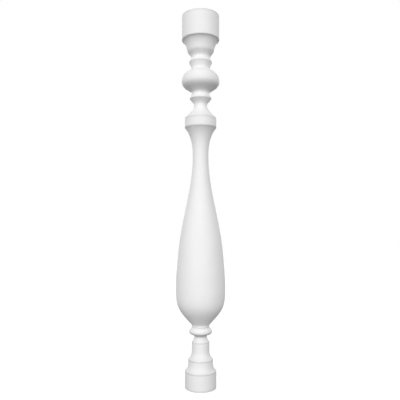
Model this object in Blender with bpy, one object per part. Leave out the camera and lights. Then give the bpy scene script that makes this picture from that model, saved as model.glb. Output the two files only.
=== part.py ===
"""Stone baluster, turned in one piece: round plinth, vase-shaped belly, ball, bell and round cap.

Metres, +Z up. The origin is the middle of the flat underside, and the axis of turning is Z.
"""
import math

import bmesh
import bpy

# Everything is turned about Z. The outline climbs from the underside to the top, one moulding
# after another, so each height is that moulding's own and the overall height is their sum.

# Plinth
PLINTH_RADIUS = 0.0380
PLINTH_HEIGHT = 0.0410

# Two hollow-sided tiers on the plinth, the lower one with a thin projecting edge
LOWER_TIER_RADIUS = 0.0301
LOWER_HOLLOW_HEIGHT = 0.0185
LOWER_TIER_HEIGHT = 0.0076
TIER_EDGE_RADIUS = 0.0305
TIER_EDGE_HEIGHT = 0.0012
UPPER_HOLLOW_HEIGHT = 0.0196
DRUM_RADIUS = 0.0214
DRUM_HEIGHT = 0.0227

# Foot neck, the ring above it and the fillet under the vase
FOOT_NECK_RADIUS = 0.0152
FOOT_NECK_HEIGHT = 0.0136
LOWER_RING_RADIUS = 0.0279
LOWER_RING_UNDERSIDE = 0.0115
LOWER_RING_TOP = 0.0111
FILLET_RADIUS = 0.0215
FILLET_HEIGHT = 0.0055

# Vase
BELLY_RADIUS = 0.0599
BELLY_HEIGHT = 0.0831
SHOULDER_RADIUS = 0.0550
SHOULDER_HEIGHT = 0.0830
VASE_NECK_RADIUS = 0.0190
VASE_NECK_HEIGHT = 0.2453
THROAT_HEIGHT = 0.0656

# Collar and the narrow waist above it
COLLAR_RADIUS = 0.0382
COLLAR_HEIGHT = 0.0233
WAIST_RADIUS = 0.0158
WAIST_HEIGHT = 0.0314

# Middle ring, ball and upper ring, with a neck between each
MIDDLE_RING_RADIUS = 0.0261
MIDDLE_RING_UNDERSIDE = 0.0155
LOWER_NECK_RADIUS = 0.0214
LOWER_NECK_HEIGHT = 0.0124
BALL_RADIUS = 0.0457
BALL_UNDERSIDE = 0.0286
UPPER_NECK_RADIUS = 0.0221
BALL_TOP = 0.0324
UPPER_RING_RADIUS = 0.0279
UPPER_RING_UNDERSIDE = 0.0147
BELL_NECK_RADIUS = 0.0232
UPPER_RING_TOP = 0.0126

# Bell and the round cap with its hollow underside
BELL_RADIUS = 0.0323
BELL_HEIGHT = 0.0140
CAP_RADIUS = 0.0451
CAP_HOLLOW_HEIGHT = 0.0269
CAP_HEIGHT = 0.0589

# How each curved moulding bends: (lean, reach) where it begins and where it ends. Lean is how fast
# the radius grows with height there, and UPRIGHT is no lean. Reach is the share of the moulding's
# height over which it keeps near that direction, so a longer reach makes a fuller curve.
UPRIGHT = 0.0
LOWER_HOLLOW_BEND = ((-1.6, 0.19), (UPRIGHT, 0.44))
UPPER_HOLLOW_BEND = ((-1.0, 0.10), (UPRIGHT, 0.52))
FOOT_NECK_BEND = ((-0.82, 0.46), (UPRIGHT, 0.12))
LOWER_RING_UNDERSIDE_BEND = ((UPRIGHT, 0.55), (UPRIGHT, 0.75))
LOWER_RING_TOP_BEND = ((UPRIGHT, 0.55), (-0.4, 0.43))
SHOULDER_LEAN = -0.08
BELLY_BEND = ((0.93, 0.43), (UPRIGHT, 0.47))
SHOULDER_BEND = ((UPRIGHT, 0.52), (SHOULDER_LEAN, 0.28))
VASE_NECK_BEND = ((SHOULDER_LEAN, 0.38), (UPRIGHT, 0.36))
THROAT_BEND = ((UPRIGHT, 0.31), (0.86, 0.28))
WAIST_BEND = ((-1.03, 0.69), (UPRIGHT, 0.23))
MIDDLE_RING_UNDERSIDE_BEND = ((UPRIGHT, 0.42), (UPRIGHT, 0.16))
LOWER_NECK_BEND = ((UPRIGHT, 0.46), (UPRIGHT, 0.37))
BALL_UNDERSIDE_BEND = ((UPRIGHT, 0.33), (UPRIGHT, 0.59))
BALL_TOP_BEND = ((UPRIGHT, 0.77), (UPRIGHT, 0.21))
UPPER_RING_UNDERSIDE_BEND = ((UPRIGHT, 0.29), (UPRIGHT, 0.13))
UPPER_RING_TOP_BEND = ((UPRIGHT, 0.14), (UPRIGHT, 0.39))
BELL_BEND = ((UPRIGHT, 0.33), (0.45, 0.20))
CAP_HOLLOW_BEND = ((0.10, 0.34), (2.3, 0.13))

# Facets around the axis, and steps along a slight, a round, a full and a long curve
SIDES = 48
SLIGHT = 3
ROUND = 4
FULL = 6
LONG = 11

# Arrises sharper than this stay crisp
SHARP_ANGLE = math.radians(32)

STONE_COLOUR = (0.84, 0.84, 0.83, 1.0)
STONE_ROUGHNESS = 0.62


def straight(outline, radius, height):
    """Run straight from the outline's last point to a radius, this much higher."""
    outline.append((radius, outline[-1][1] + height))


def sweep(outline, radius, height, bend, steps):
    """Run on one smooth cubic curve from the outline's last point to a radius, this much higher."""
    (begin_lean, begin_reach), (end_lean, end_reach) = bend
    start_radius, start_z = outline[-1]
    radii = (start_radius, start_radius + begin_lean * begin_reach * height,
             radius - end_lean * end_reach * height, radius)
    heights = (start_z, start_z + begin_reach * height, start_z + (1.0 - end_reach) * height,
               start_z + height)
    for step in range(1, steps + 1):
        t = step / steps
        weights = ((1 - t) ** 3, 3 * t * (1 - t) ** 2, 3 * t ** 2 * (1 - t), t ** 3)
        outline.append((sum(w * r for w, r in zip(weights, radii)),
                        sum(w * z for w, z in zip(weights, heights))))


def add_foot(outline):
    """Plinth, two tiers with hollow sides, and the drum."""
    straight(outline, PLINTH_RADIUS, PLINTH_HEIGHT)
    sweep(outline, LOWER_TIER_RADIUS, LOWER_HOLLOW_HEIGHT, LOWER_HOLLOW_BEND, ROUND)
    straight(outline, LOWER_TIER_RADIUS, LOWER_TIER_HEIGHT)
    straight(outline, TIER_EDGE_RADIUS, TIER_EDGE_HEIGHT)
    sweep(outline, DRUM_RADIUS, UPPER_HOLLOW_HEIGHT, UPPER_HOLLOW_BEND, ROUND)
    straight(outline, DRUM_RADIUS, DRUM_HEIGHT)


def add_lower_ring(outline):
    """The flare up to the foot neck, the undercut ring and the fillet."""
    sweep(outline, FOOT_NECK_RADIUS, FOOT_NECK_HEIGHT, FOOT_NECK_BEND, SLIGHT)
    sweep(outline, LOWER_RING_RADIUS, LOWER_RING_UNDERSIDE, LOWER_RING_UNDERSIDE_BEND, FULL)
    sweep(outline, FILLET_RADIUS, LOWER_RING_TOP, LOWER_RING_TOP_BEND, ROUND)
    straight(outline, FILLET_RADIUS, FILLET_HEIGHT)


def add_vase(outline):
    """The long vase: a cone below, full belly, gently tapered shoulder, slender neck and throat."""
    sweep(outline, BELLY_RADIUS, BELLY_HEIGHT, BELLY_BEND, FULL)
    sweep(outline, SHOULDER_RADIUS, SHOULDER_HEIGHT, SHOULDER_BEND, ROUND)
    sweep(outline, VASE_NECK_RADIUS, VASE_NECK_HEIGHT, VASE_NECK_BEND, LONG)
    sweep(outline, COLLAR_RADIUS, THROAT_HEIGHT, THROAT_BEND, FULL)


def add_collar(outline):
    """The plain collar and the cone that closes in to the waist."""
    straight(outline, COLLAR_RADIUS, COLLAR_HEIGHT)
    sweep(outline, WAIST_RADIUS, WAIST_HEIGHT, WAIST_BEND, ROUND)


def add_ball_and_rings(outline):
    """Middle ring, ball and upper ring, each rounding into the neck above it."""
    sweep(outline, MIDDLE_RING_RADIUS, MIDDLE_RING_UNDERSIDE, MIDDLE_RING_UNDERSIDE_BEND, ROUND)
    sweep(outline, LOWER_NECK_RADIUS, LOWER_NECK_HEIGHT, LOWER_NECK_BEND, SLIGHT)
    sweep(outline, BALL_RADIUS, BALL_UNDERSIDE, BALL_UNDERSIDE_BEND, FULL)
    sweep(outline, UPPER_NECK_RADIUS, BALL_TOP, BALL_TOP_BEND, FULL)
    sweep(outline, UPPER_RING_RADIUS, UPPER_RING_UNDERSIDE, UPPER_RING_UNDERSIDE_BEND, SLIGHT)
    sweep(outline, BELL_NECK_RADIUS, UPPER_RING_TOP, UPPER_RING_TOP_BEND, SLIGHT)


def add_cap(outline):
    """The bell, the hollow under the cap and the plain round cap."""
    sweep(outline, BELL_RADIUS, BELL_HEIGHT, BELL_BEND, ROUND)
    sweep(outline, CAP_RADIUS, CAP_HOLLOW_HEIGHT, CAP_HOLLOW_BEND, FULL)
    straight(outline, CAP_RADIUS, CAP_HEIGHT)


def baluster_outline():
    """Radius and height of every point of the outline, from the underside to the top."""
    outline = [(PLINTH_RADIUS, 0.0)]
    add_foot(outline)
    add_lower_ring(outline)
    add_vase(outline)
    add_collar(outline)
    add_ball_and_rings(outline)
    add_cap(outline)
    return outline


def stone_material():
    """Plain white fine-grained stone."""
    material = bpy.data.materials.new("white_stone")
    material.use_nodes = True
    shader = material.node_tree.nodes["Principled BSDF"]
    shader.inputs["Base Color"].default_value = STONE_COLOUR
    shader.inputs["Roughness"].default_value = STONE_ROUGHNESS
    shader.inputs["Metallic"].default_value = 0.0
    return material


def turned_mesh(name, outline):
    """Spin an outline about Z into a closed body with flat ends."""
    bm = bmesh.new()
    points = [bm.verts.new((radius, 0.0, z)) for radius, z in outline]
    edges = [bm.edges.new(pair) for pair in zip(points, points[1:])]
    bmesh.ops.spin(bm, geom=points + edges, cent=(0.0, 0.0, 0.0), axis=(0.0, 0.0, 1.0),
                   angle=2.0 * math.pi, steps=SIDES, use_merge=True)
    bmesh.ops.holes_fill(bm, edges=bm.edges, sides=SIDES)
    bmesh.ops.recalc_face_normals(bm, faces=bm.faces)
    mesh = bpy.data.meshes.new(name)
    bm.to_mesh(mesh)
    bm.free()
    mesh.shade_smooth()
    mesh.set_sharp_from_angle(angle=SHARP_ANGLE)
    return mesh


def main():
    for leftover in list(bpy.data.objects):
        bpy.data.objects.remove(leftover)
    mesh = turned_mesh("baluster", baluster_outline())
    mesh.materials.append(stone_material())
    baluster = bpy.data.objects.new("baluster", mesh)
    bpy.context.scene.collection.objects.link(baluster)


main()
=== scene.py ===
"""Looks of the stone baluster: fine turned surface, white stone, pale floor and soft light."""
import math

import bpy
import numpy as np
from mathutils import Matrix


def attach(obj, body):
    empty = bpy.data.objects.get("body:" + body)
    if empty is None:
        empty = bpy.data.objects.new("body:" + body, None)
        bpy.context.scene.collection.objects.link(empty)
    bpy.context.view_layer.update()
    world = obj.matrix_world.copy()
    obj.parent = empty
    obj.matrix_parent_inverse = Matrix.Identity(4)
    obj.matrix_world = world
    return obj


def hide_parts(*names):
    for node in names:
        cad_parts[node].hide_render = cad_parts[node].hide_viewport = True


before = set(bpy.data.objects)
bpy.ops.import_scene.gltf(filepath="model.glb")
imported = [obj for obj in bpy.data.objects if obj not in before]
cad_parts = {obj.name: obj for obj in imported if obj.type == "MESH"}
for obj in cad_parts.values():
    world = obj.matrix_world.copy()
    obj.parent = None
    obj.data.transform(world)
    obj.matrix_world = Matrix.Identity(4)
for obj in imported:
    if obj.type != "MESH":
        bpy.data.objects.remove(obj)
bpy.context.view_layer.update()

# The turned outline in metres, from the underside up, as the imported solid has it. Each moulding is
# (name, radius at its upper end, height, bend). A bend is (lean, reach) at its lower and at its
# upper end: how fast the radius grows with height there, and the share of the height over which
# the curve keeps near that direction. A moulding with no bend is straight.
UPRIGHT = 0.0
PLINTH_RADIUS = 0.0380
SHOULDER_LEAN = -0.08
MOULDINGS = (
    ("plinth", PLINTH_RADIUS, 0.0410, None),
    ("lower hollow", 0.0301, 0.0185, ((-1.6, 0.19), (UPRIGHT, 0.44))),
    ("lower tier", 0.0301, 0.0076, None),
    ("tier edge", 0.0305, 0.0012, None),
    ("upper hollow", 0.0214, 0.0196, ((-1.0, 0.10), (UPRIGHT, 0.52))),
    ("drum", 0.0214, 0.0227, None),
    ("foot neck", 0.0152, 0.0136, ((-0.82, 0.46), (UPRIGHT, 0.12))),
    ("lower ring underside", 0.0279, 0.0115, ((UPRIGHT, 0.55), (UPRIGHT, 0.75))),
    ("lower ring top", 0.0215, 0.0111, ((UPRIGHT, 0.55), (-0.4, 0.43))),
    ("fillet", 0.0215, 0.0055, None),
    ("belly", 0.0599, 0.0831, ((0.93, 0.43), (UPRIGHT, 0.47))),
    ("shoulder", 0.0550, 0.0830, ((UPRIGHT, 0.52), (SHOULDER_LEAN, 0.28))),
    ("vase neck", 0.0190, 0.2453, ((SHOULDER_LEAN, 0.38), (UPRIGHT, 0.36))),
    ("throat", 0.0382, 0.0656, ((UPRIGHT, 0.31), (0.86, 0.28))),
    ("collar", 0.0382, 0.0233, None),
    ("waist", 0.0158, 0.0314, ((-1.03, 0.69), (UPRIGHT, 0.23))),
    ("middle ring underside", 0.0261, 0.0155, ((UPRIGHT, 0.42), (UPRIGHT, 0.16))),
    ("lower neck", 0.0214, 0.0124, ((UPRIGHT, 0.46), (UPRIGHT, 0.37))),
    ("ball underside", 0.0457, 0.0286, ((UPRIGHT, 0.33), (UPRIGHT, 0.59))),
    ("ball top", 0.0221, 0.0324, ((UPRIGHT, 0.77), (UPRIGHT, 0.21))),
    ("upper ring underside", 0.0279, 0.0147, ((UPRIGHT, 0.29), (UPRIGHT, 0.13))),
    ("upper ring top", 0.0232, 0.0126, ((UPRIGHT, 0.14), (UPRIGHT, 0.39))),
    ("bell", 0.0323, 0.0140, ((UPRIGHT, 0.33), (0.45, 0.20))),
    ("cap hollow", 0.0451, 0.0269, ((0.10, 0.34), (2.3, 0.13))),
    ("cap", 0.0451, 0.0589, None),
)

# A fine scored line parts the lower ring from the fillet above it
SCORED_BELOW = "fillet"
SCORE_DEPTH = 0.0015
SCORE_WIDTH = 0.0009

# The lip of the bell is rounded more than the arrises are
SOFT_LIP = "bell"
LIP_SPREAD = 0.0028
LIP_REACH = 0.0060

# Fine surface. The outline is walked in small even steps, and its corners are eased by a
# bell-shaped average along the walk, which reaches a few spreads to each side.
CURVE_STEPS = 200
WALK_STEP = 0.0002
ARRIS_SPREAD = 0.0004
BELL_REACH = 4
SIDES = 240
RINGS = 390
TURN_PER_RING = math.radians(6.0)
LONGEST_RING = 0.0045

# An arris is where the eased outline turns by more than this within a few spreads
SHARP_TURN = math.radians(30.0)
TURN_REACH = 3
# The mesh attribute that carries the painted shade
SHADE_ATTRIBUTE = "shade"

# Camera: level, in front of the object, with its sides upright as the photograph has them
IMAGE_SIDE = 400
SENSOR_WIDTH = 36.0
FOCAL_PIXELS = 442.4
CAMERA_DISTANCE = 1.0751
CAMERA_HEIGHT = 0.4104
AXIS_OFFSET_PIXELS = 0.585
LENS_RISE = 0.0454

# Soft lamps in the studio's white surroundings, each (direction towards the lamp, brightness)
LAMPS = (
    ((-1.0, -1.0, 0.5), 2.71),
    ((1.0, -1.0, 0.5), 2.06),
    ((0.0, -1.0, -0.18), 1.06),
    ((0.0, -1.0, 0.58), 1.06),
    ((0.0, 1.0, 0.0), 2.2),
    ((-1.0, 1.0, 0.5), 1.6),
    ((1.0, 1.0, 0.5), 1.6),
)
LAMP_FOCUS = 8.0
WHITE = (1.0, 1.0, 1.0, 1.0)
BACKDROP_BRIGHTNESS = 1.0

# Floor: a pale grey that its own faint glow lifts to the backdrop's white
FLOOR_SIDE = 6.0
FLOOR_COLOUR = (0.90, 0.90, 0.90, 1.0)
FLOOR_GLOW = 0.45

# Stone: the two tones that its clouds and grain mix, with the grain's share in the mix
PALE_STONE = (0.895, 0.895, 0.893, 1.0)
DEEP_STONE = (0.812, 0.812, 0.809, 1.0)
CLOUD_SIZE = 0.070
CLOUD_NOISE = {"Scale": 1.0 / CLOUD_SIZE, "Detail": 5.0, "Roughness": 0.6, "Distortion": 0.6}
GRAIN_SIZE = 0.0012
GRAIN_NOISE = {"Scale": 1.0 / GRAIN_SIZE, "Detail": 2.0}
GRAIN_SHARE = 0.65
NOISE_SPAN = (0.3, 0.7)
SMOOTH_ROUGHNESS = 0.55
DULL_ROUGHNESS = 0.68
STONE_GLOSS = 0.25

# Pores: their radius and spacing, the share of the radius that is flat floor, and their depth
# beside the grain's own relief
PORE_SPACING = 0.0040
PORE_RADIUS = 0.00036
PORE_FLOOR = 0.4
PORE_DEPTH = 0.6
RELIEF_STRENGTH = 0.35
RELIEF_HEIGHT = 0.0002

# How much darker the stone is in a pore, and the painted shade along an arris, in the scored line,
# on the lower ring's underside above the foot neck, and towards the floor
PORE_SHADE = 0.26
ARRIS_PAINTED_SHADE = 0.32
ARRIS_SHADE_WIDTH = 0.0006
SCORE_PAINTED_SHADE = 0.12
UNDERCUT = "foot neck"
UNDERCUT_PAINTED_SHADE = 0.37
UNDERCUT_SHADE_LIFT = 0.0062
UNDERCUT_SHADE_REACH = 0.0054
FOOT_PAINTED_SHADE = 0.04
FOOT_SHADE_HEIGHT = 0.055


def moulding_points(start, radius, height, bend):
    """Points along one moulding after its start, each (radius, height above the underside)."""
    start_radius, start_z = start
    if bend is None:
        return [(radius, start_z + height)]
    (begin_lean, begin_reach), (end_lean, end_reach) = bend
    radii = np.array((start_radius, start_radius + begin_lean * begin_reach * height,
                      radius - end_lean * end_reach * height, radius))
    heights = start_z + height * np.array((0.0, begin_reach, 1.0 - end_reach, 1.0))
    t = np.linspace(0.0, 1.0, CURVE_STEPS + 1)[1:]
    weights = np.stack(((1 - t) ** 3, 3 * t * (1 - t) ** 2, 3 * t ** 2 * (1 - t), t ** 3), axis=1)
    return list(zip(weights @ radii, weights @ heights))


def turned_outline():
    """The outline from the middle of the underside to the middle of the top, as an array, and the
    (lower, upper) heights of each moulding by name."""
    points = [(0.0, 0.0), (PLINTH_RADIUS, 0.0)]
    levels = {}
    for name, radius, height, bend in MOULDINGS:
        lower = points[-1][1]
        points += moulding_points(points[-1], radius, height, bend)
        levels[name] = (lower, lower + height)
    points.append((0.0, points[-1][1]))
    return np.array(points), levels


def walk(points):
    """The same path with points at an even step, and the distance walked to each."""
    lengths = np.hypot(*np.diff(points, axis=0).T)
    distance = np.concatenate(([0.0], np.cumsum(lengths)))
    even = np.linspace(0.0, distance[-1], int(distance[-1] / WALK_STEP) + 1)
    path = np.stack([np.interp(even, distance, points[:, i]) for i in (0, 1)], axis=1)
    return path, even


def bell_weights(spread):
    """The weights of a bell-shaped average along the walk, this wide. Their sum is 1."""
    reach = int(BELL_REACH * spread / WALK_STEP)
    offsets = np.arange(-reach, reach + 1) * WALK_STEP
    weights = np.exp(-0.5 * (offsets / spread) ** 2)
    return weights / weights.sum()


def ease(path, spread):
    """Round the path's corners by a bell-shaped average along it. The ends stay put."""
    weights = bell_weights(spread)
    reach = len(weights) // 2
    before = 2 * path[0] - path[reach:0:-1]
    after = 2 * path[-1] - path[-2:-reach - 2:-1]
    padded = np.concatenate((before, path, after))
    return np.stack([np.convolve(padded[:, i], weights, mode="valid") for i in (0, 1)], axis=1)


def turning(path):
    """How far the path turns left at each of its points, in radians."""
    across, up = np.gradient(path, axis=0).T
    return np.gradient(np.unwrap(np.arctan2(up, across)))


def arris_strength(path):
    """About 1 at each sharp outer edge along the path, fading to 0 beside it."""
    bend = turning(path)
    window = np.ones(2 * int(TURN_REACH * ARRIS_SPREAD / WALK_STEP) + 1)
    turned = np.convolve(bend, window, mode="same")
    share = np.where(turned > SHARP_TURN, bend / np.maximum(turned, SHARP_TURN), 0.0)
    weights = bell_weights(ARRIS_SHADE_WIDTH)
    return np.convolve(share, weights / weights.max(), mode="same")


def near_level(path, z, reach):
    """1 where the path is at a height, fading to 0 beyond this reach above and below it."""
    return np.exp(-((path[:, 1] - z) / reach) ** 2)


def fine_outline():
    """The walked outline with eased arrises, a softer bell lip and the scored line, the distance
    walked, and the painted shade at each point: how much darker than plain stone its colour is made."""
    outline, levels = turned_outline()
    walked, even = walk(outline)
    path = ease(walked, ARRIS_SPREAD)
    lip = near_level(walked, levels[SOFT_LIP][1], LIP_REACH)[:, None]
    path += lip * (ease(walked, LIP_SPREAD) - path)
    scored = near_level(path, levels[SCORED_BELOW][0], SCORE_WIDTH)
    path[:, 0] -= SCORE_DEPTH * scored
    # Painted shade: a thin dark line along each sharp arris and in the scored line
    shade = ARRIS_PAINTED_SHADE * arris_strength(path) + SCORE_PAINTED_SHADE * scored
    # Painted shade on the lower ring's underside above the foot neck, where the ring shades itself
    undercut = levels[UNDERCUT][1] + UNDERCUT_SHADE_LIFT
    shade += UNDERCUT_PAINTED_SHADE * near_level(path, undercut, UNDERCUT_SHADE_REACH)
    # Painted shade: the colour darkens towards the floor, standing in for the dimmer light low down
    shade += FOOT_PAINTED_SHADE * np.clip(1.0 - path[:, 1] / FOOT_SHADE_HEIGHT, 0.0, 1.0)
    return path, even, shade


def place_rings(path, even, shade):
    """Pick ring places along the path, close together where it bends and wider apart where not."""
    effort = np.abs(turning(path)) / TURN_PER_RING + np.gradient(even) / LONGEST_RING
    total = np.cumsum(effort)
    wanted = np.linspace(total[0], total[-1], RINGS + 2)
    rings = np.stack([np.interp(wanted, total, path[:, i]) for i in (0, 1)], axis=1)
    return rings, np.interp(wanted, total, shade)


def turned_mesh(name, rings, shade):
    """A closed body turned about Z from its outline, which starts and ends on the axis."""
    angles = np.arange(SIDES) * 2.0 * math.pi / SIDES
    circle = np.stack((np.cos(angles), np.sin(angles)), axis=1)
    vertices = [(0.0, 0.0, rings[0][1])]
    for radius, z in rings[1:-1]:
        vertices += [(radius * x, radius * y, z) for x, y in circle]
    vertices.append((0.0, 0.0, rings[-1][1]))
    last = len(vertices) - 1
    count = len(rings) - 2
    faces = []
    for side in range(SIDES):
        ahead = (side + 1) % SIDES
        faces.append((0, 1 + ahead, 1 + side))
        for ring in range(count - 1):
            low, high = 1 + ring * SIDES, 1 + (ring + 1) * SIDES
            faces.append((low + side, low + ahead, high + ahead, high + side))
        top = 1 + (count - 1) * SIDES
        faces.append((top + side, top + ahead, last))
    mesh = bpy.data.meshes.new(name)
    mesh.from_pydata(vertices, [], faces)
    mesh.shade_smooth()
    # Each vertex carries the painted shade of its ring
    attribute = mesh.attributes.new(SHADE_ATTRIBUTE, "FLOAT", "POINT")
    by_vertex = np.concatenate((shade[:1], np.repeat(shade[1:-1], SIDES), shade[-1:]))
    attribute.data.foreach_set("value", by_vertex)
    return mesh


def add_node(nodes, kind, values=None, **settings):
    """A node with its settings and the plain values of its sockets."""
    node = nodes.new(kind)
    for name, value in settings.items():
        setattr(node, name, value)
    for socket, value in (values or {}).items():
        node.inputs[socket].default_value = value
    return node


def spread_noise(nodes, low, high):
    """A node that maps what a noise mostly spans to this range."""
    first, last = NOISE_SPAN
    return add_node(nodes, "ShaderNodeMapRange",
                    {"From Min": first, "From Max": last, "To Min": low, "To Max": high})


def stone_material():
    """White fine-grained stone: faint clouding, fine grain, sparse tiny pores, and the painted shade
    that the mesh carries.
    """
    material = bpy.data.materials.new("white_stone")
    material.use_nodes = True
    nodes, links = material.node_tree.nodes, material.node_tree.links
    shader = nodes["Principled BSDF"]
    shader.inputs["Metallic"].default_value = 0.0
    shader.inputs["Specular IOR Level"].default_value = STONE_GLOSS
    place = nodes.new("ShaderNodeTexCoord").outputs["Object"]

    clouds = add_node(nodes, "ShaderNodeTexNoise", CLOUD_NOISE)
    grain = add_node(nodes, "ShaderNodeTexNoise", GRAIN_NOISE)
    pores = add_node(nodes, "ShaderNodeTexVoronoi", {"Scale": 1.0 / PORE_SPACING})
    for texture in (clouds, grain, pores):
        links.new(place, texture.inputs["Vector"])

    cloudy = spread_noise(nodes, 0.0, 1.0 - GRAIN_SHARE)
    grainy = spread_noise(nodes, 0.0, GRAIN_SHARE)
    blend = add_node(nodes, "ShaderNodeMath", operation="ADD")
    tint = add_node(nodes, "ShaderNodeMix", data_type="RGBA")
    tint.inputs["A"].default_value = DEEP_STONE
    tint.inputs["B"].default_value = PALE_STONE
    links.new(clouds.outputs["Fac"], cloudy.inputs["Value"])
    links.new(grain.outputs["Fac"], grainy.inputs["Value"])
    links.new(cloudy.outputs["Result"], blend.inputs[0])
    links.new(grainy.outputs["Result"], blend.inputs[1])
    links.new(blend.outputs["Value"], tint.inputs["Factor"])

    rim = PORE_RADIUS / PORE_SPACING
    pit = add_node(nodes, "ShaderNodeMapRange", {"From Min": rim, "From Max": PORE_FLOOR * rim})
    # The painted shade carried by the mesh darkens the colour together with the pores
    darker = add_node(nodes, "ShaderNodeAttribute", attribute_name=SHADE_ATTRIBUTE)
    pores_and_painted_shade = add_node(nodes, "ShaderNodeMath", {1: PORE_SHADE}, operation="MULTIPLY_ADD")
    kept = add_node(nodes, "ShaderNodeMath", {0: 1.0}, operation="SUBTRACT")
    colour = add_node(nodes, "ShaderNodeVectorMath", operation="SCALE")
    links.new(pores.outputs["Distance"], pit.inputs["Value"])
    links.new(pit.outputs["Result"], pores_and_painted_shade.inputs[0])
    links.new(darker.outputs["Fac"], pores_and_painted_shade.inputs[2])
    links.new(pores_and_painted_shade.outputs["Value"], kept.inputs[1])
    links.new(tint.outputs["Result"], colour.inputs[0])
    links.new(kept.outputs["Value"], colour.inputs["Scale"])
    links.new(colour.outputs["Vector"], shader.inputs["Base Color"])

    dull = spread_noise(nodes, SMOOTH_ROUGHNESS, DULL_ROUGHNESS)
    links.new(clouds.outputs["Fac"], dull.inputs["Value"])
    links.new(dull.outputs["Result"], shader.inputs["Roughness"])

    relief = add_node(nodes, "ShaderNodeMath", {1: -PORE_DEPTH}, operation="MULTIPLY_ADD")
    bump = add_node(nodes, "ShaderNodeBump",
                    {"Strength": RELIEF_STRENGTH, "Distance": RELIEF_HEIGHT})
    links.new(pit.outputs["Result"], relief.inputs[0])
    links.new(grain.outputs["Fac"], relief.inputs[2])
    links.new(relief.outputs["Value"], bump.inputs["Height"])
    links.new(bump.outputs["Normal"], shader.inputs["Normal"])
    return material


def make_baluster():
    """The fine turned surface that stands for the faceted solid."""
    rings, shade = place_rings(*fine_outline())
    mesh = turned_mesh("baluster_stone", rings, shade)
    mesh.materials.append(stone_material())
    baluster = bpy.data.objects.new("baluster_stone", mesh)
    bpy.context.scene.collection.objects.link(baluster)
    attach(baluster, "root")
    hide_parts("baluster")


def make_floor():
    """A plain pale floor that takes soft shadows and throws no light back up."""
    half = FLOOR_SIDE / 2
    corners = [(-half, -half, 0.0), (half, -half, 0.0), (half, half, 0.0), (-half, half, 0.0)]
    mesh = bpy.data.meshes.new("floor")
    mesh.from_pydata(corners, [], [(0, 1, 2, 3)])
    material = bpy.data.materials.new("pale_floor")
    material.use_nodes = True
    shader = material.node_tree.nodes["Principled BSDF"]
    shader.inputs["Base Color"].default_value = FLOOR_COLOUR
    shader.inputs["Roughness"].default_value = 1.0
    shader.inputs["Specular IOR Level"].default_value = 0.0
    shader.inputs["Emission Color"].default_value = WHITE
    shader.inputs["Emission Strength"].default_value = FLOOR_GLOW
    mesh.materials.append(material)
    floor = bpy.data.objects.new("floor", mesh)
    bpy.context.scene.collection.objects.link(floor)
    floor.visible_diffuse = False
    floor.visible_glossy = False


def make_world():
    """White surroundings with a few broad soft lamps, and plain white behind everything."""
    world = bpy.data.worlds.new("studio")
    bpy.context.scene.world = world
    world.use_nodes = True
    nodes, links = world.node_tree.nodes, world.node_tree.links
    background = nodes["Background"]
    background.inputs["Color"].default_value = WHITE
    direction = add_node(nodes, "ShaderNodeVectorMath", operation="NORMALIZE")
    links.new(nodes.new("ShaderNodeTexCoord").outputs["Generated"], direction.inputs[0])
    total = None
    for towards, brightness in LAMPS:
        length = math.sqrt(sum(part * part for part in towards))
        near = add_node(nodes, "ShaderNodeVectorMath", {1: [part / length for part in towards]},
                        operation="DOT_PRODUCT")
        facing = add_node(nodes, "ShaderNodeMath", {1: 0.0}, operation="MAXIMUM")
        focus = add_node(nodes, "ShaderNodeMath", {1: LAMP_FOCUS}, operation="POWER")
        light = add_node(nodes, "ShaderNodeMath", {1: brightness, 2: 0.0}, operation="MULTIPLY_ADD")
        links.new(direction.outputs["Vector"], near.inputs[0])
        links.new(near.outputs["Value"], facing.inputs[0])
        links.new(facing.outputs["Value"], focus.inputs[0])
        links.new(focus.outputs["Value"], light.inputs[0])
        if total is not None:
            links.new(total, light.inputs[2])
        total = light.outputs["Value"]
    backdrop = add_node(nodes, "ShaderNodeMix", data_type="FLOAT")
    backdrop.inputs["B"].default_value = BACKDROP_BRIGHTNESS
    links.new(nodes.new("ShaderNodeLightPath").outputs["Is Camera Ray"], backdrop.inputs["Factor"])
    links.new(total, backdrop.inputs["A"])
    links.new(backdrop.outputs["Result"], background.inputs["Strength"])


def make_camera():
    """A level camera that looks along +Y, a hair to the left of the axis."""
    data = bpy.data.cameras.new("camera")
    data.sensor_width = SENSOR_WIDTH
    data.lens = SENSOR_WIDTH * FOCAL_PIXELS / IMAGE_SIDE
    data.shift_y = LENS_RISE
    camera = bpy.data.objects.new("camera", data)
    side_step = AXIS_OFFSET_PIXELS * CAMERA_DISTANCE / FOCAL_PIXELS
    camera.location = (-side_step, -CAMERA_DISTANCE, CAMERA_HEIGHT)
    camera.rotation_euler = (math.radians(90.0), 0.0, 0.0)
    bpy.context.scene.collection.objects.link(camera)
    bpy.context.scene.camera = camera


make_baluster()
make_floor()
make_world()
make_camera()
bpy.context.scene.view_settings.view_transform = "Standard"
